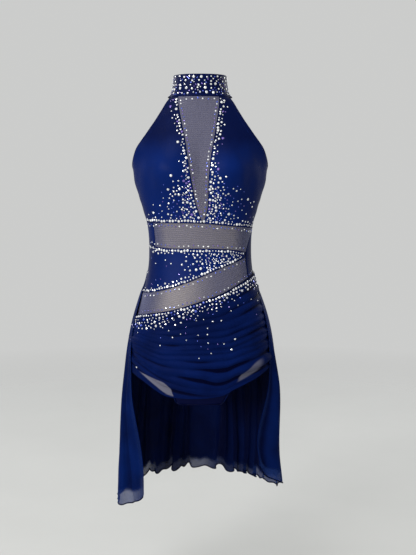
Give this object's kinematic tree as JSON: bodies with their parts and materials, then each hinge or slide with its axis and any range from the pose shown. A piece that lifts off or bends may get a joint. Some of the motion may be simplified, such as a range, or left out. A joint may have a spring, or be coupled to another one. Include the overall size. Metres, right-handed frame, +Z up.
{
  "type": "leotard",
  "caption": "Sleeveless halter-neck performance leotard with a stand-up collar that snaps at the back, sheer waist windows, a gathered hip drape and a back half-skirt, set with crystals",
  "frame": {"origin": "the centre of the collar ring, halfway up the stand-up collar, where the garment is held by the neck", "axes": "+Z up along the wearer, the garment's front faces -Y, the wearer's left is +X"},
  "size_m": [0.3929, 0.264, 0.9928],
  "materials": {
    "navy_spandex": "satin stretch knit",
    "navy_lining": "matt stretch lining",
    "window_mesh": "sheer stretch mesh",
    "nude_backing": "fine stretch net",
    "drape_mesh": "sheer mesh in gathered layers",
    "skirt_mesh": "sheer stretch mesh",
    "hem_thread": "rolled overlocked edge",
    "edge_elastic": "covered elastic",
    "clear_crystal": "faceted, foil backed",
    "sapphire_crystal": "faceted, foil backed",
    "snap_metal": "nickel plated"
  },
  "bodies": {
    "root": {"collar_shell": "navy_spandex", "collar_lining": "navy_lining", "snap_studs": "snap_metal", "right_bodice_panel": "navy_spandex", "left_bodice_panel": "navy_spandex", "right_bodice_lining": "navy_lining", "left_bodice_lining": "navy_lining", "v_mesh_insert": "window_mesh", "v_mesh_backing": "nude_backing", "upper_waist_mesh": "window_mesh", "upper_mesh_backing": "nude_backing", "waist_wedge_panel": "navy_spandex", "lower_waist_mesh": "window_mesh", "lower_mesh_backing": "nude_backing", "right_side_panel": "navy_spandex", "left_side_panel": "navy_spandex", "back_panel": "navy_spandex", "brief_front": "navy_spandex", "brief_back": "navy_spandex", "crotch_gusset": "navy_spandex", "gusset_lining": "nude_backing", "hip_drape": "drape_mesh", "right_leg_elastic": "edge_elastic", "left_leg_elastic": "edge_elastic", "right_edge_binding": "edge_elastic", "left_edge_binding": "edge_elastic", "skirt_waist_tape": "edge_elastic", "skirt_right_panel": "skirt_mesh", "skirt_back_panel": "skirt_mesh", "skirt_left_panel": "skirt_mesh", "skirt_right_hem": "hem_thread", "skirt_back_hem": "hem_thread", "skirt_left_hem": "hem_thread", "collar_crystals": "clear_crystal", "right_v_crystals": "clear_crystal", "left_v_crystals": "clear_crystal", "bodice_hem_crystals": "clear_crystal", "bodice_scatter_crystals": "clear_crystal", "wedge_crystals": "clear_crystal", "mesh_edge_crystals": "sapphire_crystal", "drape_crystals": "clear_crystal"},
    "collar_tab": {"collar_tab": "navy_spandex", "snap_sockets": "snap_metal", "snap_caps": "snap_metal", "tab_crystals": "clear_crystal"}
  },
  "joints": [
    {"name": "collar_tab_hinge", "type": "hinge", "parent": "root", "child": "collar_tab", "pos_m": [0.0308, 0.054, 0], "axis": [0.0552, 0.0968, -0.9938], "range_deg": [0, 100]}
  ]
}
